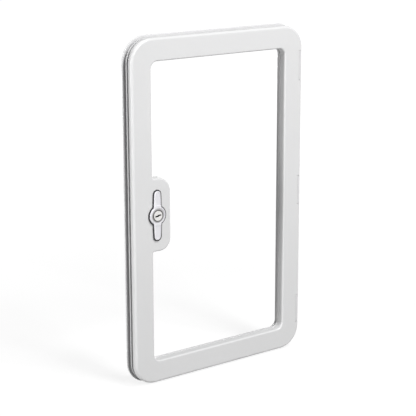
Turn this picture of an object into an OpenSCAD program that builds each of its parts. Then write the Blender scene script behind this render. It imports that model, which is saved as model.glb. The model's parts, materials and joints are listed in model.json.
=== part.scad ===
// Service hatch for a caravan wall: a wall frame, a hinged door ring that takes the panel cut from the wall,
// and a wing handle with a key lock. Everything is drawn lying down, with z as the height above the wall's
// skin, and upright() stands it up: the hatch faces -Y, and the wall's skin is the plane y = 0.

/* [Door] */
// Width of the door over its cover
door_w = 386; // [340:1:440]
// Height of the door over its cover
door_h = 640; // [560:1:740]
// Width of the four bars round the opening
bar_w = 42; // [40:1:46]
// Radius of the cover's outer corners
corner_r = 43; // [36:1:52]
// Radius of the corners of the opening
opening_r = 13; // [10:1:18]
// Depth of the cover's side
cover_d = 9; // [8:0.5:12]
// Wall of the mouldings
wall = 3; // [2.5:0.25:3.5]
// Rounding of the cover's outer edge
edge_r = 5; // [4.5:0.25:5.5]
// Rounding of the cover's inner edge
lip_r = 3; // [2.5:0.25:3.5]

/* [Rear frame] */
// Groove between the cover and the rear frame
seam_t = 6; // [4:0.25:7]
// Thickness of the rear frame's flat
rim_t = 3; // [2.5:0.25:4]
// Step of the rear frame inside the cover's outline
rim_step = 0.5; // [0:0.25:2]
// How far the rib behind the groove reaches into the cover
rib_lap = 2; // [1:0.25:3]
// Depth of the groove, from the cover's outline to the rib
groove_d = 10; // [9.5:0.5:14]
// How far the cover's reveal reaches into the rear frame
reveal_lap = 1; // [0.5:0.25:1.5]
// Depth of the lip behind the flat
lip_l = 7; // [5:0.5:7]
// Wall of the lip
lip_wall = 2.5; // [2:0.25:3]
// How far the lip's ledge stands into the opening
lip_proud = 0.8; // [0.4:0.1:1.2]
// How far the lip flares from its ledge to its end
lip_flare = 2.3; // [1:0.1:3]

/* [Lock tab] */
// Height of the tab at the bar
tab_h = 136; // [130:1:160]
// How far the tab reaches into the opening
tab_reach = 38; // [36:1:46]
// Radius of the tab's upper corner
tab_upper_r = 26; // [16:1:30]
// Radius of the tab's lower corner
tab_lower_r = 22; // [16:1:30]
// Radius where the tab meets the bar
tab_fillet = 3; // [2:0.5:6]
// Distance of the lock from the bar's inner edge
lock_inset = 8; // [5:0.5:10]

/* [Wall frame] */
// How far the cover reaches past the cut-out in the wall
cover_over = 18; // [16:0.5:22]
// Radius of the cut-out's corners
cutout_r = 26; // [20:1:34]
// Gap between the collar and the cut-out
cutout_gap = 1; // [0.5:0.25:2]
// How far the flange stands past the cover
flange_over = 3; // [1.5:0.25:4]
// Thickness of the flange
flange_t = 2; // [2:0.25:3]
// Rounding of the flange's outer edge
flange_r = 1.25; // [0.75:0.25:1.5]
// Depth of the collar in the wall
collar_d = 22; // [20:1:40]
// Gap between the flange and the closed door
door_gap = 6; // [6:0.25:8]
// Diameter of the screw holes in the collar
screw_d = 4.2; // [3.5:0.1:5]
// Distance of the outermost screw holes from the collar's ends
screw_end = 81; // [60:1:100]
// Number of screw holes in each side of the collar
side_screws = 4; // [3:1:5]
// Number of screw holes in the top and in the bottom of the collar
end_screws = 2; // [2:1:3]

/* [Seals] */
// Width of the gasket in the flange's back
gasket_w = 8; // [6:0.5:10]
// Depth of the gasket's groove
gasket_t = 0.9; // [0.6:0.1:1]
// Width of the door seal
seal_w = 7; // [6:0.25:8]
// Thickness of the door seal's foot
seal_foot = 1.5; // [1:0.25:2]

/* [Hinges] */
// Distance of the outer hinges from the door's ends
hinge_end = 77; // [70:1:110]
// Length of a fixed knuckle
knuckle_l = 55; // [40:1:60]
// Thickness of the stem under a knuckle
stem_t = 6.5; // [6:0.25:7]
// How far a stem stands back from the door's side
stem_set = 1; // [1:0.25:1.5]
// Gap at the ends of a knuckle
knuckle_gap = 1; // [0.5:0.1:1.2]
// Diameter of a hinge pin
pin_d = 4; // [3:0.25:4.5]
// How far a pin reaches into the cover
pin_reach = 10; // [8:1:14]
// Material round and behind a pin's end
boss_wall = 2; // [1.5:0.25:2.5]

/* [Handle] */
// Length of the wing handle
wing_l = 91; // [84:1:104]
// Width of a wing at its end
wing_w = 13; // [12:0.2:15]
// How much wider each side of a wing is at the middle
wing_taper = 1.6; // [0.4:0.2:2.4]
// Thickness of the handle
handle_t = 2.4; // [2.2:0.1:4]
// Bevel round the handle's top
bevel = 1.1; // [0.6:0.1:1.2]
// How much lower a wing is at its end
wing_drop = 0.6; // [0.2:0.1:0.8]
// Depth of the field in each wing, below the disc's face
field_d = 1; // [0.9:0.05:1.3]
// Border round the field of a wing
field_rim = 2.2; // [1.8:0.1:2.8]
// Diameter of the handle's disc
disc_d = 33; // [32:0.5:38]
// Border round the dish in the disc
dish_rim = 2; // [1.6:0.1:3]
// Depth of the dish in the disc
dish_depth = 0.6; // [0.3:0.1:1]
// Thickness of the pad under the handle
pad_t = 1.6; // [0.8:0.1:2]
// How far the pad shows round the handle
pad_edge = 2.2; // [0.8:0.1:2.6]

/* [Lock] */
// Diameter of the key cylinder
key_d = 18; // [16:0.5:18.5]
// Depth of the key cylinder in the spindle
key_depth = 12; // [10:0.5:14]
// How far the key cylinder stands out of the dish
key_proud = 0.7; // [0.1:0.1:1]
// Width of the spindle's neck round the key cylinder
neck_w = 1.4; // [1:0.1:1.8]
// How far the neck stays below the dish
neck_set = 0.3; // [0.1:0.1:0.6]
// Length of the keyway
keyway_l = 12.5; // [10:0.5:13]
// Width of the keyway
keyway_w = 2.6; // [1.6:0.1:2.8]
// Offset of the two halves of the keyway
keyway_step = 0.8; // [0.4:0.1:1]
// Depth of the keyway
keyway_d = 7; // [5:0.5:8]
// Wall of the spindle and of the barrel
tube_wall = 2.5; // [2:0.25:3]
// Width of the barrel's shoulder
shoulder_w = 2.5; // [2:0.25:3]
// Thickness of the barrel's shoulder
shoulder_t = 2.5; // [2:0.25:3]
// How far the barrel reaches past the wall's skin
barrel_out = 1; // [0.5:0.25:2]
// Thickness of the nuts
nut_t = 3; // [2.5:0.25:4]
// Width of a nut beside its thread
nut_wall = 3.5; // [3:0.25:4.5]
// Thickness of the washer under the barrel's nut
washer_t = 1; // [0.8:0.1:1.4]
// Side of the spindle's square
square_w = 8; // [7:0.25:9]

/* [Latch] */
// Thickness of the latch tongue
tongue_t = 3; // [2.5:0.25:4]
// Width of the latch tongue
tongue_w = 14; // [12:0.5:16]
// Rounding of the tongue's end
tongue_r = 4; // [3:0.5:5]
// How far the tongue reaches over the keeper
tongue_hold = 4; // [3:0.25:5]
// Gap between the tongue and the keeper
latch_gap = 1.5; // [1:0.25:2]
// Length of the keeper
keeper_l = 40; // [30:1:50]
// How far the keeper stands out of the collar
keeper_w = 8.5; // [8:0.25:9]
// Thickness of the keeper's shelf
keeper_t = 3; // [2.5:0.25:4]
// Level of the keeper's shelf behind the lip's end
keeper_set = 0.5; // [0.25:0.25:1]
// Height and thickness of the keeper's leaf on the collar
keeper_leaf = [13.5, 2];

/* [Hidden] */
$fn = 64;

// clearances: running fits, soft pieces, pieces that are only put together, and cuts that run past a face
run = 0.08;
soft = 0.3;
touch = 0.2;
past = 1;

// levels above the wall's skin
rim_back = flange_t + door_gap;
rim_front = rim_back + rim_t;
cover_back = rim_front + seam_t;
front = cover_back + cover_d;
plate_back = front - wall;
lip_back = rim_back - lip_l;
reveal_split = rim_front - reveal_lap;

// outlines, from the centre of the opening
half_w = door_w / 2;
half_h = door_h / 2;
open_x = half_w - bar_w;
open_y = half_h - bar_w;
tab_x = tab_reach - open_x;
lock_x = lock_inset - open_x;
cutout_w = door_w - 2 * cover_over;
cutout_h = door_h - 2 * cover_over;
collar_w = cutout_w - 2 * cutout_gap;
collar_h = cutout_h - 2 * cutout_gap;
collar_r = cutout_r - cutout_gap;
collar_in = collar_w / 2 - wall;

// hinges
axis_x = half_w - edge_r;
axis_z = front - edge_r;
hinge_spread = half_h - hinge_end;
hinge_ys = [hinge_spread, 0, -hinge_spread];
boss_l = pin_reach + boss_wall;
stem_out = edge_r - stem_set;
stem_in = stem_out - stem_t;

// lock
spindle_r = key_d / 2 + tube_wall;
barrel_r = spindle_r + tube_wall;
barrel_back = -barrel_out;
handle_back = front + soft + pad_t;
handle_front = handle_back + handle_t;
dish_level = handle_front - dish_depth;
key_top = dish_level + key_proud;
neck_r = key_d / 2 + neck_w;
wing_end = wing_l / 2 - wing_w / 2;
wing_root_r = wing_w / 2 + wing_taper;
keeper_front = lip_back - keeper_set;
keeper_x = keeper_w - collar_in;
tongue_front = keeper_front - keeper_t - latch_gap;
tongue_back = tongue_front - tongue_t;
tongue_l = lock_x - keeper_x + tongue_hold;

// a corner list is [x, y, radius] for each corner, going round to the left
function unit(v) = v / norm(v);
function right(v) = [v[1], -v[0]];
function heading(v) = atan2(v[1], v[0]);
function corner(p, i) = [p[i][0], p[i][1]];
function leaves(p, i) = unit(corner(p, (i + 1) % len(p)) - corner(p, i));
function comes(p, i) = leaves(p, (i + len(p) - 1) % len(p));
function turn(p, i) =
    let (a = comes(p, i), b = leaves(p, i))
    atan2(a[0] * b[1] - a[1] * b[0], a * b);
function cut_back(p, i) = p[i][2] * tan(abs(turn(p, i)) / 2);
function arc_start(p, i) = corner(p, i) - comes(p, i) * cut_back(p, i);
function arc_end(p, i) = corner(p, i) + leaves(p, i) * cut_back(p, i);
function arc_centre(p, i) = arc_start(p, i) - right(comes(p, i)) * p[i][2] * sign(turn(p, i));
function grown(p, u) =
    [for (i = [0 : len(p) - 1])
        let (a = right(comes(p, i)), b = right(leaves(p, i)), c = corner(p, i) + (a + b) * u / (1 + a * b))
        [c[0], c[1], p[i][2] + u * sign(turn(p, i))]];

function rect_path(w, h, r) =
    [[-w / 2, -h / 2, r], [w / 2, -h / 2, r], [w / 2, h / 2, r], [-w / 2, h / 2, r]];

// places spread evenly from one end to the other
function spread(count, reach) = [for (i = [0 : count - 1]) (2 * i / (count - 1) - 1) * reach];

cover_path = rect_path(door_w, door_h, corner_r);
flange_path = grown(cover_path, flange_over);
collar_path = rect_path(collar_w, collar_h, collar_r);
gasket_path = grown(collar_path, (half_w + flange_over - collar_w / 2) / 2);
opening_path = [[-open_x, -open_y, opening_r], [open_x, -open_y, opening_r],
                [open_x, open_y, opening_r], [-open_x, open_y, opening_r],
                [-open_x, tab_h / 2, tab_fillet], [tab_x, tab_h / 2, tab_upper_r],
                [tab_x, -tab_h / 2, tab_lower_r], [-open_x, -tab_h / 2, tab_fillet]];

// flat area inside a corner list
module outline(p) {
    difference() {
        union() {
            polygon([for (i = [0 : len(p) - 1]) each [arc_start(p, i), arc_end(p, i)]]);
            for (i = [0 : len(p) - 1])
                if (turn(p, i) > 0) translate(arc_centre(p, i)) circle(p[i][2]);
        }
        for (i = [0 : len(p) - 1])
            if (turn(p, i) < 0) translate(arc_centre(p, i)) circle(p[i][2]);
    }
}

// flat band from one corner list to a smaller one
module band(outer, inner) {
    difference() {
        outline(outer);
        outline(inner);
    }
}

// sweeps a section round a corner list: the section's x is the distance outwards and its y is the height
module moulding(p) {
    for (i = [0 : len(p) - 1]) {
        next = (i + 1) % len(p);
        length = norm(arc_start(p, next) - arc_end(p, i));
        translate(arc_end(p, i))
            rotate([0, 0, heading(leaves(p, i)) - 90])
                translate([0, length, 0])
                    rotate([90, 0, 0]) linear_extrude(length) children();
        if (turn(p, i) > 0)
            translate(arc_centre(p, i))
                rotate([0, 0, heading(comes(p, i)) - 90])
                    rotate_extrude(angle = turn(p, i)) translate([p[i][2], 0]) children();
        else
            translate(arc_centre(p, i))
                rotate([0, 0, heading(leaves(p, i)) + 90])
                    rotate_extrude(angle = -turn(p, i)) translate([p[i][2], 0]) mirror([1, 0]) children();
    }
}

module upright() {
    rotate([90, 0, 0]) children();
}

// slab between two heights
module slab(low, high) {
    translate([0, 0, low]) linear_extrude(high - low) children();
}

module rod(r, low, high) {
    translate([0, 0, low]) cylinder(h = high - low, r = r);
}

// block between two corners
module block(low, high) {
    translate(low) cube(high - low);
}

// rod along the hinge axis between two places on it
module hinge_rod(r, low, high) {
    translate([axis_x, high, axis_z]) rotate([90, 0, 0]) cylinder(h = high - low, r = r);
}

module at_lock() {
    translate([lock_x, 0, 0]) children();
}

// hexagonal nut between two heights, by its width across the flats
module hex_nut(across, low, high) {
    translate([0, 0, low]) cylinder(h = high - low, d = across / cos(30), $fn = 6);
}

// square hole or rod along z, between two heights
module square_rod(side, low, high) {
    block([-side / 2, -side / 2, low], [side / 2, side / 2, high]);
}

module quarter(r) {
    intersection() {
        circle(r);
        square(r);
    }
}

// outer edge of a moulding: a wall between two heights, rounded at the top
module rounded_edge(thick, r, low, high) {
    translate([-r, high - r]) quarter(r);
    translate([-thick, low]) square([thick, high - r - low]);
}

module wall_frame() {
    screw_level = -collar_d / 2;
    side_reach = collar_h / 2 - screw_end;
    end_reach = collar_w / 2 - screw_end;
    color("gainsboro") upright() difference() {
        union() {
            slab(0, flange_t) band(grown(flange_path, -flange_r), grown(collar_path, -wall));
            moulding(flange_path) rounded_edge(flange_r, flange_r, 0, flange_t);
            moulding(collar_path)
                translate([-wall, -collar_d]) square([wall, collar_d + flange_t]);
        }
        slab(-past, gasket_t) band(grown(gasket_path, gasket_w / 2), grown(gasket_path, -gasket_w / 2));
        for (y = spread(side_screws, side_reach))
            translate([0, y, screw_level])
                rotate([0, 90, 0]) cylinder(h = collar_w + past, d = screw_d, center = true);
        for (x = spread(end_screws, end_reach))
            translate([x, 0, screw_level])
                rotate([90, 0, 0]) cylinder(h = collar_h + past, d = screw_d, center = true);
    }
}

// foam strip, flush with the flange's back
module wall_gasket() {
    strip = gasket_w / 2 - touch;
    color("dimgray") upright() slab(0, gasket_t) band(grown(gasket_path, strip), grown(gasket_path, -strip));
}

// rubber bead on the flange, just clear of the closed door
module door_seal() {
    bead = rim_back - soft - flange_t;
    color("dimgray") upright() moulding(grown(collar_path, seal_w / 2)) translate([0, flange_t]) {
        translate([-seal_w / 2, 0]) square([seal_w, seal_foot]);
        intersection() {
            circle(bead);
            translate([-seal_w / 2, 0]) square([seal_w, bead]);
        }
    }
}

module hinge_knuckle(y) {
    half = knuckle_l / 2;
    color("gainsboro") upright() difference() {
        union() {
            hinge_rod(edge_r, y - half, y + half);
            block([axis_x + stem_in, y - half, flange_t], [axis_x + stem_out, y + half, axis_z]);
        }
        hinge_rod(pin_d / 2 + run, y - half - past, y + half + past);
    }
}

module hinge_pin(y) {
    half = knuckle_l / 2 + knuckle_gap + pin_reach;
    color("silver") upright() hinge_rod(pin_d / 2, y - half, y + half);
}

module upper_hinge_knuckle() { hinge_knuckle(hinge_ys[0]); }
module middle_hinge_knuckle() { hinge_knuckle(hinge_ys[1]); }
module lower_hinge_knuckle() { hinge_knuckle(hinge_ys[2]); }
module upper_hinge_pin() { hinge_pin(hinge_ys[0]); }
module middle_hinge_pin() { hinge_pin(hinge_ys[1]); }
module lower_hinge_pin() { hinge_pin(hinge_ys[2]); }

// angle bracket on the collar that the tongue turns behind
module latch_keeper() {
    keeper_back = keeper_front - keeper_t;
    color("silver") upright() {
        block([-collar_in, -keeper_l / 2, keeper_back], [keeper_x, keeper_l / 2, keeper_front]);
        block([-collar_in, -keeper_l / 2, keeper_back - keeper_leaf[0]],
              [keeper_leaf[1] - collar_in, keeper_l / 2, keeper_back]);
    }
}

// room that the fixed knuckles need in the door
module knuckle_room() {
    for (y = hinge_ys) {
        half = knuckle_l / 2 + knuckle_gap;
        hinge_rod(edge_r + knuckle_gap, y - half, y + half);
        block([axis_x + stem_in - knuckle_gap, y - half, rim_back - past], [half_w + past, y + half, axis_z]);
    }
}

// blocks in the cover that hold the ends of the pins, or the room for them
module hinge_bosses(room = 0) {
    reach = pin_d / 2 + boss_wall + room;
    for (y = hinge_ys, side = [-1, 1]) {
        near = y + side * (knuckle_l / 2 + knuckle_gap);
        far = near + side * (boss_l + room);
        block([axis_x - reach, min(near, far), axis_z - reach],
              [half_w - wall + touch, max(near, far), plate_back + touch]);
    }
}

module door_cover() {
    color("whitesmoke") upright() difference() {
        union() {
            slab(plate_back, front) band(grown(cover_path, -edge_r), grown(opening_path, lip_r));
            moulding(cover_path) rounded_edge(wall, edge_r, cover_back, front);
            moulding(opening_path) mirror([1, 0]) rounded_edge(wall, lip_r, reveal_split, front);
            hinge_bosses();
        }
        knuckle_room();
        for (y = hinge_ys) {
            half = knuckle_l / 2 + knuckle_gap + pin_reach + touch;
            hinge_rod(pin_d / 2 + run, y - half, y + half);
        }
        at_lock() rod(barrel_r + run, plate_back - past, front + past);
    }
}

module door_rear_frame() {
    lip_in = wall + touch;
    lip_out = lip_in + lip_wall;
    color("gainsboro") upright() difference() {
        union() {
            slab(rim_back, rim_front) band(grown(cover_path, -rim_step), grown(opening_path, lip_out));
            moulding(cover_path)
                translate([-groove_d - wall, rim_front]) square([wall, seam_t + rib_lap]);
            moulding(opening_path)
                polygon([[-lip_proud, reveal_split], [lip_flare - lip_proud, lip_back], [lip_out, lip_back],
                         [lip_out, rim_front], [lip_in, rim_front], [lip_in, reveal_split]]);
        }
        knuckle_room();
        hinge_bosses(touch);
        at_lock() rod(barrel_r + run, rim_back - past, rim_front + past);
    }
}

module lock_barrel() {
    color("silver") upright() at_lock() difference() {
        union() {
            rod(barrel_r, barrel_back, front - touch);
            rod(barrel_r + shoulder_w, plate_back - shoulder_t, plate_back);
        }
        rod(spindle_r + run, barrel_back - past, front);
    }
}

module lock_washer() {
    color("silver") upright() at_lock() difference() {
        rod(barrel_r + nut_wall, rim_back - washer_t, rim_back);
        rod(barrel_r + run, rim_back - washer_t - past, rim_back + past);
    }
}

module lock_nut() {
    top = rim_back - washer_t;
    color("silver") upright() at_lock() difference() {
        hex_nut(2 * (barrel_r + nut_wall), top - nut_t, top);
        rod(barrel_r + run, top - nut_t - past, top + past);
    }
}

// one wing, from the disc up to its rounded end
module wing() {
    root_y = disc_d / 2 - wing_root_r + bevel;
    tip_t = handle_t - wing_drop;
    translate([0, 0, handle_back]) hull() {
        translate([0, wing_end, 0]) cylinder(h = tip_t - bevel, d = wing_w, $fn = 32);
        translate([0, wing_end, 0]) cylinder(h = tip_t, d = wing_w - 2 * bevel, $fn = 32);
        translate([0, root_y, 0]) cylinder(h = handle_t - bevel, r = wing_root_r, $fn = 32);
        translate([0, root_y, 0]) cylinder(h = handle_t, r = wing_root_r - bevel, $fn = 32);
    }
}

// shallow field in a wing's top
module wing_field() {
    tip_r = wing_w / 2 - field_rim;
    root_r = wing_root_r - field_rim;
    root_y = disc_d / 2 + field_rim;
    slab(handle_front - field_d, handle_front + past) {
        translate([0, wing_end]) circle(tip_r);
        polygon([[-tip_r, wing_end], [-root_r, root_y], [root_r, root_y], [tip_r, wing_end]]);
    }
}

module wing_handle() {
    color("whitesmoke") upright() at_lock() difference() {
        union() {
            wing();
            rotate([0, 0, 180]) wing();
            translate([0, 0, handle_back]) rotate_extrude()
                polygon([[0, 0], [disc_d / 2, 0], [disc_d / 2, handle_t - bevel],
                         [disc_d / 2 - bevel, handle_t], [0, handle_t]]);
        }
        wing_field();
        rotate([0, 0, 180]) wing_field();
        rod(disc_d / 2 - dish_rim, dish_level, handle_front + past);
        rod(neck_r + run, handle_back - past, handle_front + past);
    }
}

// dark pad that the handle turns on
module handle_seal() {
    tip_r = wing_w / 2 + pad_edge;
    root_r = tip_r + wing_taper;
    color("dimgray") upright() at_lock() difference() {
        slab(handle_back - pad_t, handle_back) {
            circle(disc_d / 2 + pad_edge);
            for (side = [-1, 1]) translate([0, side * wing_end]) circle(tip_r);
            polygon([[tip_r, -wing_end], [root_r, 0], [tip_r, wing_end],
                     [-tip_r, wing_end], [-root_r, 0], [-tip_r, -wing_end]]);
        }
        rod(spindle_r + run, front, handle_front);
    }
}

module handle_spindle() {
    spindle_back = barrel_back - touch;
    color("silver") upright() at_lock() difference() {
        union() {
            rod(spindle_r, spindle_back, handle_back);
            rod(neck_r, front, dish_level - neck_set);
            square_rod(square_w, tongue_back - nut_t - touch, spindle_back);
        }
        rod(key_d / 2 + run, front - key_depth, handle_front);
    }
}

module latch_tongue() {
    side = tongue_w / 2;
    color("silver") upright() at_lock() difference() {
        slab(tongue_back, tongue_front) {
            circle(side + tongue_r / 4);
            translate([-side, 0]) square([tongue_w, tongue_l - tongue_r]);
            translate([tongue_r - side, 0]) square([tongue_w - 2 * tongue_r, tongue_l]);
            for (x = [tongue_r - side, side - tongue_r]) translate([x, tongue_l - tongue_r]) circle(tongue_r);
        }
        square_rod(square_w + 2 * run, tongue_back - past, tongue_front + past);
    }
}

module tongue_nut() {
    color("silver") upright() at_lock() difference() {
        hex_nut(square_w + 2 * nut_wall, tongue_back - nut_t, tongue_back);
        square_rod(square_w + 2 * run, tongue_back - nut_t - past, tongue_back + past);
    }
}

module key_cylinder() {
    lap = keyway_w / 2;
    color("ivory") upright() at_lock() difference() {
        rod(key_d / 2, front - key_depth + touch, key_top);
        slab(key_top - keyway_d, key_top + past) {
            translate([-keyway_l / 2, -keyway_w / 2 - keyway_step]) square([keyway_l / 2 + lap, keyway_w]);
            translate([-lap, -keyway_w / 2 + keyway_step]) square([keyway_l / 2 + lap, keyway_w]);
        }
    }
}

wall_frame();
wall_gasket();
door_seal();
upper_hinge_knuckle();
middle_hinge_knuckle();
lower_hinge_knuckle();
upper_hinge_pin();
middle_hinge_pin();
lower_hinge_pin();
latch_keeper();
door_cover();
door_rear_frame();
lock_barrel();
lock_washer();
lock_nut();
wing_handle();
handle_seal();
handle_spindle();
latch_tongue();
tongue_nut();
key_cylinder();
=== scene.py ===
import json
import math
import bpy
from mathutils import Euler, Matrix, Vector


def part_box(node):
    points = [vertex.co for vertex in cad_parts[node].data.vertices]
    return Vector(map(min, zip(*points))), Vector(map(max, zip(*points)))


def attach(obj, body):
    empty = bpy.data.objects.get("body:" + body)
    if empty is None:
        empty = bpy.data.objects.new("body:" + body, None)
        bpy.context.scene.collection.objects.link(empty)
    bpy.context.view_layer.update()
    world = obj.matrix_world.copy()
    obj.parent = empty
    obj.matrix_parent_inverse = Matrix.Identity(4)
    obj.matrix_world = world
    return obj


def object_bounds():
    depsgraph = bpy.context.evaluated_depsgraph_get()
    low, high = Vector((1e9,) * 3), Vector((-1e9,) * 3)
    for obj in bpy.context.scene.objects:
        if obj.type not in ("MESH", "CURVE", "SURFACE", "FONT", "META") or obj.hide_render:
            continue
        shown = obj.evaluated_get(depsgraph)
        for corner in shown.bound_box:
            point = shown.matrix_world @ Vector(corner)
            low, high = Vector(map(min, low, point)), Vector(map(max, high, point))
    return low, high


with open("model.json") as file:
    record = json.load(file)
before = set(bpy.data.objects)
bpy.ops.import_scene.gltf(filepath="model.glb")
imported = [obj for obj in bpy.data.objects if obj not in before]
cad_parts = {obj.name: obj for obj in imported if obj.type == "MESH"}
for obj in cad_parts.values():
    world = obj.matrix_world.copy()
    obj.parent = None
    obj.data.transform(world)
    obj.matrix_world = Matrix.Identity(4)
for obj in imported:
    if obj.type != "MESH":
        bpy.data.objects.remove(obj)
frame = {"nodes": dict(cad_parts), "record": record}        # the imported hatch, in metres: it faces -Y, and +Z is up
cadLow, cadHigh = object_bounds()
mm = 0.001
nodes = frame["nodes"]
print("frame loaded:", len(nodes), "solids")

# what the camera sees, worked out from the perspective of the door's edges
cameraValues = {
    "place": (-1.3823, -1.8930, 0.5988),
    "yaw": -36.50,           # degrees, from looking along +Y
    "pitch": -13.54,
    "lens": 111.44,
    "shiftX": -0.03,
    "shiftY": -0.06,
    "nearest": 0.05,
    "farthest": 60,
}


def addCamera(values):
    data = bpy.data.cameras.new("camera")
    data.lens = values["lens"]
    data.shift_x = values["shiftX"]
    data.shift_y = values["shiftY"]
    data.dof.use_dof = False
    data.clip_start = values["nearest"]
    data.clip_end = values["farthest"]
    camera = bpy.data.objects.new("camera", data)
    camera.location = values["place"]
    camera.rotation_euler = Euler((math.radians(90 + values["pitch"]), 0, math.radians(values["yaw"])))
    bpy.context.scene.collection.objects.link(camera)
    bpy.context.scene.camera = camera


addCamera(cameraValues)
bpy.context.scene.view_settings.view_transform = "Standard"
print("camera in place")


# helpers for all node trees
def feed(tree, socket, value):
    # a plain number or row of numbers is set on the socket, and anything else is linked to it
    if isinstance(value, (int, float, tuple)):
        socket.default_value = value
    else:
        tree.links.new(value, socket)


def addMath(tree, operation, first, second, clamp=False):
    node = tree.nodes.new("ShaderNodeMath")
    node.operation = operation
    node.use_clamp = clamp
    feed(tree, node.inputs[0], first)
    feed(tree, node.inputs[1], second)
    return node.outputs[0]


def addVectorMath(tree, operation, first, second=None):
    node = tree.nodes.new("ShaderNodeVectorMath")
    node.operation = operation
    feed(tree, node.inputs[0], first)
    if second is not None:
        feed(tree, node.inputs["Scale" if operation == "SCALE" else 1], second)
    givesNumber = operation in ("LENGTH", "DOT_PRODUCT")
    return node.outputs["Value" if givesNumber else "Vector"]


def addNoise(tree, vector, scale, detail, roughness=0.5):
    node = tree.nodes.new("ShaderNodeTexNoise")
    for label, value in (("Vector", vector), ("Scale", scale), ("Detail", detail), ("Roughness", roughness)):
        feed(tree, node.inputs[label], value)
    return node.outputs["Fac"]


def addRange(tree, value, fromLow, fromHigh, toLow, toHigh):
    node = tree.nodes.new("ShaderNodeMapRange")
    labels = ("Value", "From Min", "From Max", "To Min", "To Max")
    for label, limit in zip(labels, (value, fromLow, fromHigh, toLow, toHigh)):
        feed(tree, node.inputs[label], limit)
    return node.outputs["Result"]


# studio: the floor and the background look white to the camera and in reflections, but their light is low,
# and the soft lamps do the work
studioValues = {
    "floorSize": 30,
    "floorColour": (0.25, 0.25, 0.25, 1),
    "floorGlow": (0.82, 1.0),     # near the door and far off
    "glowReach": (0.6, 2.2),      # distances where the glow starts and ends to grow
    "backColour": (1, 1, 1, 1),
    "worldLight": 0.13,
    "worldColour": (1, 1, 1, 1),
}
lampValues = {
    "keyLamp": {"place": (0.2, -3.4, 1.6), "aim": (0, 0, 0), "size": (1.2, 1.2), "power": 76},
    "topLamp": {"place": (0.6, -1.9, 3.1), "aim": (0, 0, 0), "size": (1.0, 1.0), "power": 69},
    "jambLamp": {"place": (-2.6, -0.15, -0.1), "aim": (0.15, -0.01, -0.1), "size": (0.03, 1.8),
                 "power": 27},
    "sideLamp": {"place": (-2.6, -0.06, -0.1), "aim": (-0.19, -0.012, -0.1), "size": (0.05, 1.8),
                 "power": 36},
    "backLamp": {"place": (0.95, 3.55, -0.18), "aim": (0, 0, 0), "size": (1.4, 0.2), "power": 30},
}


def seenRays(tree):
    # 1 for what the camera sees, straight or by a reflection, and 0 for light
    lightPath = tree.nodes.new("ShaderNodeLightPath").outputs
    mirrored = addMath(tree, "MAXIMUM", lightPath["Is Camera Ray"], lightPath["Is Glossy Ray"])
    return addMath(tree, "MAXIMUM", mirrored, lightPath["Is Transmission Ray"])


def addWorld(values):
    world = bpy.data.worlds.new("studio")
    bpy.context.scene.world = world
    world.use_nodes = True
    tree = world.node_tree
    tree.nodes.clear()
    light = tree.nodes.new("ShaderNodeBackground")
    light.inputs["Color"].default_value = values["worldColour"]
    light.inputs["Strength"].default_value = values["worldLight"]
    backdrop = tree.nodes.new("ShaderNodeBackground")
    backdrop.inputs["Color"].default_value = values["backColour"]
    backdrop.inputs["Strength"].default_value = 1
    mix = tree.nodes.new("ShaderNodeMixShader")
    tree.links.new(seenRays(tree), mix.inputs["Fac"])
    tree.links.new(light.outputs[0], mix.inputs[1])
    tree.links.new(backdrop.outputs[0], mix.inputs[2])
    output = tree.nodes.new("ShaderNodeOutputWorld")
    tree.links.new(mix.outputs[0], output.inputs["Surface"])


def addFloor(values, height):
    bpy.ops.object.select_all(action="DESELECT")
    bpy.ops.mesh.primitive_plane_add(size=values["floorSize"], location=(0, 0, height))
    floor = bpy.context.object
    floor.name = "floor"
    material = bpy.data.materials.new("white_floor")
    material.use_nodes = True
    tree = material.node_tree
    tree.nodes.clear()
    matte = tree.nodes.new("ShaderNodeBsdfDiffuse")
    matte.inputs["Color"].default_value = values["floorColour"]
    place = tree.nodes.new("ShaderNodeTexCoord").outputs["Object"]
    distance = addVectorMath(tree, "LENGTH", place)
    level = addRange(tree, distance, *values["glowReach"], *values["floorGlow"])
    glow = tree.nodes.new("ShaderNodeEmission")
    tree.links.new(addMath(tree, "MULTIPLY", level, seenRays(tree)), glow.inputs["Strength"])
    both = tree.nodes.new("ShaderNodeAddShader")
    tree.links.new(matte.outputs[0], both.inputs[0])
    tree.links.new(glow.outputs[0], both.inputs[1])
    output = tree.nodes.new("ShaderNodeOutputMaterial")
    tree.links.new(both.outputs[0], output.inputs["Surface"])
    floor.data.materials.append(material)


def addLamp(name, values):
    data = bpy.data.lights.new(name, "AREA")
    data.shape = "RECTANGLE"
    data.size, data.size_y = values["size"]
    data.energy = values["power"]
    lamp = bpy.data.objects.new(name, data)
    lamp.location = values["place"]
    aim = Vector(values["aim"]) - Vector(values["place"])
    lamp.rotation_euler = aim.to_track_quat("-Z", "Y").to_euler()
    bpy.context.scene.collection.objects.link(lamp)


addWorld(studioValues)
addFloor(studioValues, cadLow.z)
for lampName, lampPart in lampValues.items():
    addLamp(lampName, lampPart)
print("studio lit")

# effects that several finishes share; scales are waves per metre
edgeValues = {
    "samples": 6,
    "flat": 0.995,           # how alike the true and the rounded normal are beside an edge
    "sharp": 0.85,           # and on it
}
plasticValues = {
    "cloudScale": 7, "cloudDetail": 3,
    "scuffScale": 60, "scuffDetail": 6, "scuffRoughness": 0.7,
    "grainDetail": 2,
}
metalValues = {
    "lineDetail": 3, "lineTint": 0.1, "lineGloss": 0.12,
    "stainScale": 90, "stainDetail": 5, "stainRoughness": 0.65,
    "darkest": 0.95,         # share of the colour where no line adds to it
}
rubberValues = {
    "dustScale": 45, "dustDetail": 6, "dustRoughness": 0.7, "dustGloss": 0.2,
    "dustLow": 0.4, "dustHigh": 0.75,        # where the bloom starts, and where it is full
    "darkest": 0.9,
}
noiseMiddle = 0.5
surfaceOutputs = [
    ("Colour", "NodeSocketColor"), ("Roughness", "NodeSocketFloat"), ("Normal", "NodeSocketVector")]


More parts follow.
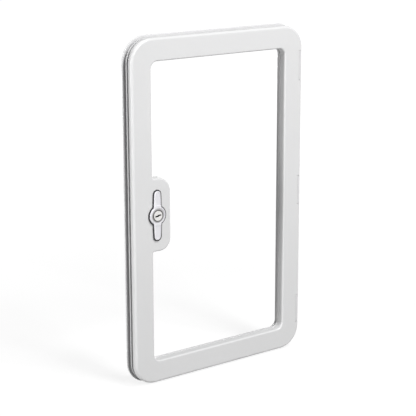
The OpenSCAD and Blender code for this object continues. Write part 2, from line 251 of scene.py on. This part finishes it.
def startGroup(name, inputs, outputs):
    group = bpy.data.node_groups.new(name, "ShaderNodeTree")
    for label, kind, value in inputs:
        socket = group.interface.new_socket(name=label, in_out="INPUT", socket_type=kind)
        socket.default_value = value
    for label, kind in outputs:
        group.interface.new_socket(name=label, in_out="OUTPUT", socket_type=kind)
    return group, group.nodes.new("NodeGroupInput"), group.nodes.new("NodeGroupOutput")


def endGroup(group, given, out, level, rough, height, depth, normal=None):
    # the given colour at a level, a roughness, and a bump of the given depth on top of the normal
    group.links.new(addVectorMath(group, "SCALE", given.outputs["Colour"], level), out.inputs["Colour"])
    group.links.new(rough, out.inputs["Roughness"])
    bump = group.nodes.new("ShaderNodeBump")
    bump.inputs["Strength"].default_value = 1
    group.links.new(given.outputs[depth], bump.inputs["Distance"])
    group.links.new(height, bump.inputs["Height"])
    if normal is not None:
        group.links.new(normal, bump.inputs["Normal"])
    group.links.new(bump.outputs["Normal"], out.inputs["Normal"])
    return group


def makeEdgeGroup(values):
    group, given, out = startGroup(
        "roundedEdges",
        [("Radius", "NodeSocketFloat", 0.0004)],
        [("Normal", "NodeSocketVector"), ("Edge", "NodeSocketFloat")])
    bevel = group.nodes.new("ShaderNodeBevel")
    bevel.samples = values["samples"]
    group.links.new(given.outputs["Radius"], bevel.inputs["Radius"])
    trueNormal = group.nodes.new("ShaderNodeNewGeometry").outputs["Normal"]
    alike = addVectorMath(group, "DOT_PRODUCT", bevel.outputs["Normal"], trueNormal)
    group.links.new(bevel.outputs["Normal"], out.inputs["Normal"])
    group.links.new(addRange(group, alike, values["flat"], values["sharp"], 0, 1), out.inputs["Edge"])
    return group


def addEdges(group, given, edges):
    edge = group.nodes.new("ShaderNodeGroup")
    edge.node_tree = edges
    group.links.new(given.outputs["Edge Radius"], edge.inputs["Radius"])
    return edge.outputs


def makeLockMask():
    # 1 inside a reach round the lock's axis and behind a level, counted along Y; it says where the painted shade goes
    group, given, out = startGroup(
        "lockShade",
        [("Axis", "NodeSocketVector", (0, 0, 0)), ("Reach", "NodeSocketFloat", 0.01),
         ("Softness", "NodeSocketFloat", 0.0002), ("Level", "NodeSocketFloat", -1)],
        [("Mask", "NodeSocketFloat")])
    place = group.nodes.new("ShaderNodeTexCoord").outputs["Object"]
    offset = addVectorMath(group, "SUBTRACT", place, given.outputs["Axis"])
    radius = addVectorMath(group, "LENGTH", addVectorMath(group, "MULTIPLY", offset, (1, 0, 1)))
    far = addMath(group, "ADD", given.outputs["Reach"], given.outputs["Softness"])
    inside = addRange(group, radius, given.outputs["Reach"], far, 1, 0)
    parts = group.nodes.new("ShaderNodeSeparateXYZ")
    group.links.new(place, parts.inputs[0])
    behind = addMath(group, "GREATER_THAN", parts.outputs["Y"], given.outputs["Level"])
    group.links.new(addMath(group, "MULTIPLY", inside, behind), out.inputs["Mask"])
    return group


def makePlasticGroup(values, edges):
    # moulded plastic: soft clouds in the melt, edges rubbed a little paler, a fine grain
    group, given, out = startGroup(
        "mouldedPlastic",
        [("Colour", "NodeSocketColor", (0.8, 0.8, 0.8, 1)), ("Mottle", "NodeSocketFloat", 0.02),
         ("Gloss", "NodeSocketFloat", 0.35), ("Gloss Change", "NodeSocketFloat", 0.06),
         ("Grain Scale", "NodeSocketFloat", 1400), ("Grain Height", "NodeSocketFloat", 0.00001),
         ("Edge Radius", "NodeSocketFloat", 0.0004), ("Edge Wear", "NodeSocketFloat", 0.05)],
        surfaceOutputs)
    place = group.nodes.new("ShaderNodeTexCoord").outputs["Object"]
    cloud = addNoise(group, place, values["cloudScale"], values["cloudDetail"])
    scuff = addNoise(group, place, values["scuffScale"], values["scuffDetail"], values["scuffRoughness"])
    grain = addNoise(group, place, given.outputs["Grain Scale"], values["grainDetail"])
    edge = addEdges(group, given, edges)
    cloudOffset = addMath(group, "SUBTRACT", cloud, noiseMiddle)
    spread = addMath(group, "MULTIPLY", cloudOffset, given.outputs["Mottle"])
    worn = addMath(group, "MULTIPLY", edge["Edge"], given.outputs["Edge Wear"])
    level = addMath(group, "ADD", addMath(group, "ADD", spread, 1), worn)
    scuffOffset = addMath(group, "SUBTRACT", scuff, noiseMiddle)
    change = addMath(group, "MULTIPLY", scuffOffset, given.outputs["Gloss Change"])
    rough = addMath(group, "ADD", given.outputs["Gloss"], change, True)
    return endGroup(group, given, out, level, rough, grain, "Grain Height", edge["Normal"])


def makeMetalGroup(values, edges):
    # drawn or stamped metal: scratches along the stretch, and tarnish that dulls and darkens
    group, given, out = startGroup(
        "drawnMetal",
        [("Colour", "NodeSocketColor", (0.6, 0.6, 0.6, 1)), ("Tarnish", "NodeSocketFloat", 0.15),
         ("Gloss", "NodeSocketFloat", 0.3), ("Stretch", "NodeSocketVector", (60, 60, 2400)),
         ("Scratch Height", "NodeSocketFloat", 0.00001), ("Edge Radius", "NodeSocketFloat", 0.0002)],
        surfaceOutputs)
    place = group.nodes.new("ShaderNodeTexCoord").outputs["Object"]
    stretched = addVectorMath(group, "MULTIPLY", place, given.outputs["Stretch"])
    lines = addNoise(group, stretched, 1, values["lineDetail"])
    stain = addNoise(group, place, values["stainScale"], values["stainDetail"], values["stainRoughness"])
    edge = addEdges(group, given, edges)
    stainOffset = addMath(group, "SUBTRACT", stain, noiseMiddle)
    dull = addMath(group, "MULTIPLY", stainOffset, given.outputs["Tarnish"])
    lineTint = addMath(group, "MULTIPLY", lines, values["lineTint"])
    level = addMath(group, "SUBTRACT", addMath(group, "ADD", lineTint, values["darkest"]), dull)
    lineGloss = addMath(group, "MULTIPLY", lines, values["lineGloss"])
    rough = addMath(group, "ADD", addMath(group, "ADD", given.outputs["Gloss"], lineGloss), dull, True)
    return endGroup(group, given, out, level, rough, lines, "Scratch Height", edge["Normal"])


def makeRubberGroup(values):
    # rubber and foam: small cells, and a pale bloom of dust
    group, given, out = startGroup(
        "softRubber",
        [("Colour", "NodeSocketColor", (0.05, 0.05, 0.05, 1)), ("Bloom", "NodeSocketFloat", 0.4),
         ("Gloss", "NodeSocketFloat", 0.6), ("Cell Scale", "NodeSocketFloat", 900),
         ("Cell Height", "NodeSocketFloat", 0.00004)],
        surfaceOutputs)
    place = group.nodes.new("ShaderNodeTexCoord").outputs["Object"]
    dust = addNoise(group, place, values["dustScale"], values["dustDetail"], values["dustRoughness"])
    cells = group.nodes.new("ShaderNodeTexVoronoi")
    group.links.new(place, cells.inputs["Vector"])
    group.links.new(given.outputs["Cell Scale"], cells.inputs["Scale"])
    settled = addRange(group, dust, values["dustLow"], values["dustHigh"], 0, 1)
    pale = addMath(group, "MULTIPLY", settled, given.outputs["Bloom"])
    level = addMath(group, "ADD", pale, values["darkest"])
    dustGloss = addMath(group, "MULTIPLY", dust, values["dustGloss"])
    rough = addMath(group, "ADD", given.outputs["Gloss"], dustGloss, True)
    return endGroup(group, given, out, level, rough, cells.outputs["Distance"], "Cell Height")


edgeGroup = makeEdgeGroup(edgeValues)
paintedShadeMask = makeLockMask()
plasticGroup = makePlasticGroup(plasticValues, edgeGroup)
metalGroup = makeMetalGroup(metalValues, edgeGroup)
rubberGroup = makeRubberGroup(rubberValues)
print("shared effects built")

lockLow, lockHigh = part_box("key_cylinder")[0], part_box("key_cylinder")[1]
lockAxis = Vector((lockLow + lockHigh) / 2)

# finishes, one dictionary each: "shader" holds what is the same all over the surface, and "shade" the painted
# shade round the lock and in the keyway
coverFinish = {
    "group": plasticGroup,
    "values": {"Colour": (0.765, 0.765, 0.768, 1), "Mottle": 0.05, "Gloss": 0.24, "Gloss Change": 0.1,
               "Grain Scale": 1300, "Grain Height": 0.000006, "Edge Radius": 0.0003, "Edge Wear": 0.03},
    "shader": {"Specular IOR Level": 0.4},
}
rearFinish = {
    "group": plasticGroup,
    "values": {"Colour": (0.745, 0.745, 0.75, 1), "Mottle": 0.05, "Gloss": 0.3, "Gloss Change": 0.1,
               "Grain Scale": 1100, "Grain Height": 0.000008, "Edge Radius": 0.0004, "Edge Wear": 0.04},
    "shader": {"Specular IOR Level": 0.2},
}
frameFinish = {
    "group": plasticGroup,
    "values": {"Colour": (0.75, 0.75, 0.755, 1), "Mottle": 0.05, "Gloss": 0.42, "Gloss Change": 0.1,
               "Grain Scale": 1100, "Grain Height": 0.000008, "Edge Radius": 0.0004, "Edge Wear": 0.04},
    "shader": {"Specular IOR Level": 0.4},
}
handleFinish = {
    "group": plasticGroup,
    "values": {"Colour": (0.835, 0.825, 0.86, 1), "Mottle": 0.03, "Gloss": 0.2, "Gloss Change": 0.08,
               "Grain Scale": 1800, "Grain Height": 0.000004, "Edge Radius": 0.00025, "Edge Wear": 0.06},
    "shader": {"Specular IOR Level": 0.5},
    # painted shade: the handle goes dark round the lock cylinder, fading out over 4 mm, for the shade in its dish
    "shade": {"Reach": 10.4 * mm, "Softness": 4.0 * mm, "Level": -1, "colour": (0.16, 0.155, 0.15, 1)},
}
# the handle's rubber pad is near black; its dark rim round the handle also stands in for the shadow gap there, as
# painted shade
padFinish = {
    "group": rubberGroup,
    "values": {"Colour": (0.035, 0.033, 0.037, 1), "Bloom": 0.5, "Gloss": 0.5, "Cell Scale": 1800,
               "Cell Height": 0.00002},
    "shader": {"Specular IOR Level": 0.35},
}
sealFinish = {
    "group": rubberGroup,
    "values": {"Colour": (0.24, 0.24, 0.25, 1), "Bloom": 0.4, "Gloss": 0.5, "Cell Scale": 1500,
               "Cell Height": 0.00003},
    "shader": {"Specular IOR Level": 0.35},
}
foamFinish = {
    "group": rubberGroup,
    "values": {"Colour": (0.045, 0.045, 0.05, 1), "Bloom": 0.8, "Gloss": 0.8, "Cell Scale": 700,
               "Cell Height": 0.0002},
    "shader": {"Specular IOR Level": 0.2},
}
pinFinish = {
    "group": metalGroup,
    "values": {"Colour": (0.62, 0.61, 0.60, 1), "Tarnish": 0.1, "Gloss": 0.22, "Stretch": (900, 900, 40),
               "Scratch Height": 0.000004, "Edge Radius": 0.0002},
    "shader": {"Metallic": 1},
}
bracketFinish = {
    "group": metalGroup,
    "values": {"Colour": (0.60, 0.61, 0.63, 1), "Tarnish": 0.3, "Gloss": 0.3, "Stretch": (500, 500, 30),
               "Scratch Height": 0.000006, "Edge Radius": 0.0003},
    "shader": {"Metallic": 1},
}
lockFinish = {
    "group": metalGroup,
    "values": {"Colour": (0.52, 0.51, 0.49, 1), "Tarnish": 0.35, "Gloss": 0.34, "Stretch": (300, 900, 300),
               "Scratch Height": 0.000006, "Edge Radius": 0.0003},
    "shader": {"Metallic": 1},
}
spindleFinish = {
    "group": metalGroup,
    "values": {"Colour": (0.12, 0.115, 0.11, 1), "Tarnish": 0.4, "Gloss": 0.3, "Stretch": (300, 900, 300),
               "Scratch Height": 0.000006, "Edge Radius": 0.0003},
    "shader": {"Metallic": 1},
}
cylinderFinish = {
    "group": plasticGroup,
    "values": {"Colour": (0.87, 0.855, 0.845, 1), "Mottle": 0.1, "Gloss": 0.22, "Gloss Change": 0.1,
               "Grain Scale": 2400, "Grain Height": 0.000004, "Edge Radius": 0.0002, "Edge Wear": 0.05},
    "shader": {"Specular IOR Level": 0.5},
    # painted shade: within the cylinder, everything more than 0.25 mm behind its face (the keyway) goes near black
    "shade": {"Reach": 8.6 * mm, "Softness": 0.2 * mm, "Level": lockLow.y + 0.25 * mm,
              "colour": (0.012, 0.011, 0.012, 1)},
}


def makeMaterial(name, finish):
    material = bpy.data.materials.new(name)
    material.use_nodes = True
    tree = material.node_tree
    shader = tree.nodes["Principled BSDF"]
    for label, value in finish["shader"].items():
        shader.inputs[label].default_value = value
    group = tree.nodes.new("ShaderNodeGroup")
    group.node_tree = finish["group"]
    for label, value in finish["values"].items():
        group.inputs[label].default_value = value
    colour = group.outputs["Colour"]
    # painted shade: the mask mixes the shade colour into the finish's colour
    if "shade" in finish:
        mask = tree.nodes.new("ShaderNodeGroup")
        mask.node_tree = paintedShadeMask
        mask.inputs["Axis"].default_value = lockAxis
        for label in ("Reach", "Softness", "Level"):
            mask.inputs[label].default_value = finish["shade"][label]
        mix = tree.nodes.new("ShaderNodeMixRGB")
        tree.links.new(mask.outputs["Mask"], mix.inputs["Fac"])
        tree.links.new(colour, mix.inputs["Color1"])
        mix.inputs["Color2"].default_value = finish["shade"]["colour"]
        colour = mix.outputs["Color"]
    tree.links.new(colour, shader.inputs["Base Color"])
    tree.links.new(group.outputs["Roughness"], shader.inputs["Roughness"])
    tree.links.new(group.outputs["Normal"], shader.inputs["Normal"])
    return material


finishes = {
    "cover_plastic": coverFinish, "rear_plastic": rearFinish, "frame_plastic": frameFinish,
    "handle_plastic": handleFinish, "handle_rubber": padFinish, "seal_rubber": sealFinish,
    "foam": foamFinish, "pin_steel": pinFinish, "bracket_steel": bracketFinish,
    "lock_metal": lockFinish, "cylinder_face": cylinderFinish, "dark_metal": spindleFinish,
}
materials = {name: makeMaterial(name, finish) for name, finish in finishes.items()}
ownFinish = {"handle_spindle": "dark_metal"}      # nodes that don't take their slot's finish
for part in frame["record"]["subparts"]:
    mesh = nodes[part["node"]].data
    mesh.materials.clear()
    mesh.materials.append(materials[ownFinish.get(part["node"], part["material_slot"])])
print("finishes on the solids")

screwValues = {
    "headRadius": 2.9 * mm,
    "headHeight": 1.5 * mm,
    "headSides": 28,
    "rounding": 1.0 * mm,
    "roundingSteps": 4,
    "crossLength": 3.2 * mm,
    "crossWidth": 0.8 * mm,
    "crossDepth": 0.9 * mm,
    "smoothAngle": 35,       # degrees
    "slotStep": 37,          # degrees that each cross is turned past the one before
}
rearScrewSeats = {           # in millimetres from the part's origin
    "sideX": 163.8,
    "sideZ": (-235, -118, 118, 235),
    "endZ": 290.8,
    "endX": (-110, 0, 110),
}
keeperScrewSeats = {
    "leaf": 2,               # thickness of the keeper's leaf, in millimetres
    "y": 9.5,
    "z": (-12, 12),
}


def pickFaces(piece, test):
    bpy.ops.object.mode_set(mode="OBJECT")
    for edge in piece.data.edges:
        edge.select = False
    for vertex in piece.data.vertices:
        vertex.select = False
    for face in piece.data.polygons:
        face.select = test(face)
    bpy.ops.object.mode_set(mode="EDIT")


def modelScrew(values):
    # a pan head that stands on z = 0 and looks along +Z, with a cross recess
    bpy.ops.object.select_all(action="DESELECT")
    bpy.ops.mesh.primitive_cylinder_add(
        vertices=values["headSides"], radius=values["headRadius"], depth=values["headHeight"],
        location=(0, 0, values["headHeight"] / 2))
    screw = bpy.context.object
    bpy.ops.object.transform_apply(location=True, rotation=True, scale=True)
    bpy.ops.object.mode_set(mode="EDIT")
    bpy.ops.mesh.select_mode(type="FACE")
    pickFaces(screw, lambda face: face.normal.z > 0.9)      # the top face alone
    bpy.ops.mesh.bevel(offset=values["rounding"], segments=values["roundingSteps"], affect="EDGES")
    bpy.ops.object.mode_set(mode="OBJECT")
    for turn in (0, 90):
        bpy.ops.object.select_all(action="DESELECT")
        bpy.ops.mesh.primitive_cube_add(size=1, location=(0, 0, values["headHeight"]))
        cutter = bpy.context.object
        cutter.scale = (values["crossLength"], values["crossWidth"], 2 * values["crossDepth"])
        cutter.rotation_euler = (0, 0, math.radians(turn))
        bpy.ops.object.transform_apply(location=True, rotation=True, scale=True)
        bpy.ops.object.select_all(action="DESELECT")
        screw.select_set(True)
        bpy.context.view_layer.objects.active = screw
        cut = screw.modifiers.new("cross", "BOOLEAN")
        cut.operation = "DIFFERENCE"
        cut.solver = "EXACT"
        cut.object = cutter
        bpy.ops.object.modifier_apply(modifier=cut.name)
        bpy.data.objects.remove(cutter)
    bpy.ops.object.shade_smooth_by_angle(angle=math.radians(values["smoothAngle"]))
    return screw


def addScrews(name, model, seats, outwards, body):
    # joins one copy of the screw for each seat, in millimetres; outwards is where the heads look
    turn = Vector(outwards).to_track_quat("Z", "X").to_matrix().to_4x4()
    copies = []
    for count, seat in enumerate(seats):
        copy = model.copy()
        copy.data = model.data.copy()
        spin = Matrix.Rotation(math.radians(screwValues["slotStep"] * count), 4, "Z")
        copy.data.transform(Matrix.Translation(Vector(seat) * mm) @ turn @ spin)
        bpy.context.scene.collection.objects.link(copy)
        copies.append(copy)
    bpy.ops.object.select_all(action="DESELECT")
    for copy in copies:
        copy.select_set(True)
    bpy.context.view_layer.objects.active = copies[0]
    bpy.ops.object.join()
    screws = bpy.context.object
    screws.name = name
    screws.data.materials.clear()
    screws.data.materials.append(materials["bracket_steel"])
    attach(screws, body)


def placeScrews(rear, keeper):
    model = modelScrew(screwValues)
    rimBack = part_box("lock_washer")[0].y / mm      # the back of the rear frame's flat
    seats = [(side * rear["sideX"], rimBack, z) for side in (-1, 1) for z in rear["sideZ"]]
    seats += [(x, rimBack, end * rear["endZ"]) for end in (-1, 1) for x in rear["endX"]]
    seats += [(rear["sideX"], rimBack, 0)]         # halfway up, only where the lock isn't
    addScrews("rear_frame_screws", model, seats, (0, 1, 0), "door")
    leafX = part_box("latch_keeper")[0].x / mm + keeper["leaf"]
    addScrews("keeper_screws", model, [(leafX, keeper["y"], z) for z in keeper["z"]], (1, 0, 0), "frame")
    bpy.data.objects.remove(model)


placeScrews(rearScrewSeats, keeperScrewSeats)
print("screws seated")
